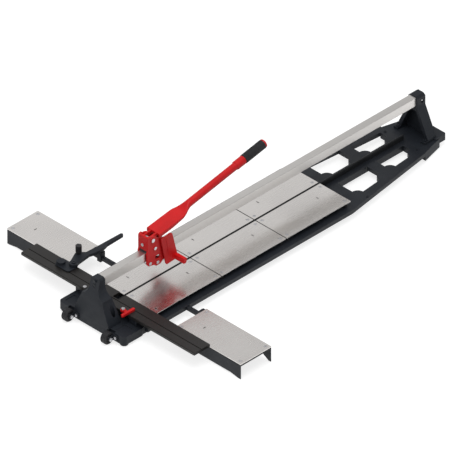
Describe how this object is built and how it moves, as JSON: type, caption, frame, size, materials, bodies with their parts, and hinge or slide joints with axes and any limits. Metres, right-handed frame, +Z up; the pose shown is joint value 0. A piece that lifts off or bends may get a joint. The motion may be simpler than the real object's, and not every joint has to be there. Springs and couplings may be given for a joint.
{
  "type": "tile cutter",
  "caption": "Manual tile cutter: a lever carriage scores along a guide rail over an aluminium bed, with pull-out side arms, a fence and a swivelling side stop.",
  "frame": {"origin": "on the floor, under the centre of the whole machine's box", "axes": "+Y along the guide rail from the front tower to the rear tower, +X across the machine, +Z up"},
  "size_m": [1.08, 1.603, 0.3627],
  "materials": {
    "black_steel": "satin black powder coat",
    "black_casting": "satin black paint on a casting",
    "bar_steel": "dark ground steel",
    "rail_aluminium": "satin, drawn along its length",
    "plate_aluminium": "brushed, lightly reflective",
    "fence_anodised": "dark anodised, satin",
    "rubber": "matte",
    "tyre_rubber": "matte",
    "zinc": "zinc plated",
    "carbide": "ground",
    "red_paint": "semi-gloss red powder coat",
    "red_plastic": "gloss",
    "grip_rubber": "fine ribbed rubber",
    "black_plastic": "moulded"
  },
  "bodies": {
    "base": {"deck_tray": "black_steel", "spine_beam": "black_steel", "breaking_bar": "bar_steel", "front_casting": "black_casting", "front_tower": "black_casting", "rear_casting": "black_casting", "rear_tower": "black_casting", "guide_rail": "rail_aluminium", "rubber_feet": "rubber", "frame_bolts": "black_steel", "rail_bolts": "black_steel", "bed_plate_front_left": "plate_aluminium", "bed_plate_front_right": "plate_aluminium", "bed_plate_middle_left": "plate_aluminium", "bed_plate_middle_right": "plate_aluminium", "bed_plate_rear_left": "plate_aluminium", "bed_plate_rear_right": "plate_aluminium", "plate_cushions": "rubber", "plate_screws": "zinc", "fence": "fence_anodised", "fence_blocks": "black_casting", "fence_screw": "zinc", "fence_lock_screw": "zinc", "wheel_brackets": "black_steel", "wheel_axles": "zinc"},
    "fence_lever": {"fence_lock_lever": "red_paint"},
    "left_wheel": {"transport_wheel_left": "tyre_rubber"},
    "right_wheel": {"transport_wheel_right": "tyre_rubber"},
    "left_arm": {"left_arm_frame": "black_steel", "left_arm_plate": "plate_aluminium", "left_arm_rods": "black_steel", "left_arm_clamp": "black_casting", "left_arm_cushions": "rubber", "left_arm_screws": "zinc"},
    "right_arm": {"right_arm_frame": "black_steel", "right_arm_plate": "plate_aluminium", "right_arm_rods": "black_steel", "right_arm_clamp": "black_casting", "right_arm_cushions": "rubber", "right_arm_screws": "zinc"},
    "stop_slider": {"stop_base": "black_casting", "stop_pivot_screw": "black_steel"},
    "stop_swing": {"stop_arm": "black_casting"},
    "stop_lock": {"stop_knob": "black_plastic"},
    "carriage": {"carriage_body": "red_paint", "carriage_bolts": "zinc", "carriage_pivot_pin": "zinc", "carriage_front_bolt": "zinc", "slide_pad": "black_plastic"},
    "top_roller_body": {"top_roller": "zinc"},
    "front_roller_body": {"lower_roller_front": "zinc"},
    "rear_roller_body": {"lower_roller_rear": "zinc"},
    "scorer": {"scoring_arm": "zinc"},
    "cutter": {"scoring_wheel": "carbide"},
    "breaker": {"breaker_left": "red_paint", "breaker_right": "red_paint", "breaker_bar": "red_paint"},
    "lever": {"handle": "red_paint", "handle_grip": "grip_rubber", "handle_cap": "red_plastic"}
  },
  "joints": [
    {"name": "carriage_slide", "type": "slide", "parent": "base", "child": "carriage", "axis": [0, 1, 0], "range_m": [-0.165, 1.09]},
    {"name": "handle_swing", "type": "hinge", "parent": "carriage", "child": "lever", "pos_m": [0, -0.5025, 0.236], "axis": [1, 0, 0], "range_deg": [0, 46]},
    {"name": "breaker_press", "type": "slide", "parent": "carriage", "child": "breaker", "axis": [0, 0.2079, -0.9781], "range_m": [0, 0.05], "stiffness_N_per_m": 500, "springref_m": -0.03},
    {"name": "scorer_swing", "type": "hinge", "parent": "carriage", "child": "scorer", "pos_m": [0, -0.4805, 0.139], "axis": [1, 0, 0], "range_deg": [-66, 2]},
    {"name": "cutter_spin", "type": "hinge", "parent": "scorer", "child": "cutter", "pos_m": [0, -0.42412, 0.11848], "axis": [1, 0, 0], "continuous": true},
    {"name": "top_roller_spin", "type": "hinge", "parent": "carriage", "child": "top_roller_body", "pos_m": [0, -0.4925, 0.2006], "axis": [1, 0, 0], "continuous": true},
    {"name": "front_roller_spin", "type": "hinge", "parent": "carriage", "child": "front_roller_body", "pos_m": [0, -0.5145, 0.1494], "axis": [1, 0, 0], "continuous": true},
    {"name": "rear_roller_spin", "type": "hinge", "parent": "carriage", "child": "rear_roller_body", "pos_m": [0, -0.4265, 0.1494], "axis": [1, 0, 0], "continuous": true},
    {"name": "left_arm_slide", "type": "slide", "parent": "base", "child": "left_arm", "axis": [-1, 0, 0], "range_m": [-0.056, 0.065]},
    {"name": "right_arm_slide", "type": "slide", "parent": "base", "child": "right_arm", "axis": [1, 0, 0], "range_m": [-0.056, 0.065]},
    {"name": "stop_slide", "type": "slide", "parent": "base", "child": "stop_slider", "axis": [1, 0, 0], "range_m": [-0.115, 0.085]},
    {"name": "stop_swing_hinge", "type": "hinge", "parent": "stop_slider", "child": "stop_swing", "pos_m": [-0.222, -0.6225, 0.075], "axis": [0, 0, 1], "range_deg": [0, 50]},
    {"name": "stop_knob_turn", "type": "hinge", "parent": "stop_swing", "child": "stop_lock", "pos_m": [-0.248, -0.5745, 0.09], "axis": [0, 0, 1], "range_deg": [0, 270]},
    {"name": "fence_lever_turn", "type": "hinge", "parent": "base", "child": "fence_lever", "pos_m": [0.07, -0.6855, 0.072], "axis": [0, 0, 1], "range_deg": [0, 60]},
    {"name": "left_wheel_spin", "type": "hinge", "parent": "base", "child": "left_wheel", "pos_m": [-0.09, -0.7795, 0.0225], "axis": [1, 0, 0], "continuous": true},
    {"name": "right_wheel_spin", "type": "hinge", "parent": "base", "child": "right_wheel", "pos_m": [0.09, -0.7795, 0.0225], "axis": [1, 0, 0], "continuous": true}
  ],
  "couplings": [
    {"joint": "scorer_swing", "follows": "handle_swing", "ratio": -1.4},
    {"joint": "top_roller_spin", "follows": "carriage_slide", "rad_per_m": -117.65},
    {"joint": "front_roller_spin", "follows": "carriage_slide", "rad_per_m": 117.65},
    {"joint": "rear_roller_spin", "follows": "carriage_slide", "rad_per_m": 117.65}
  ]
}
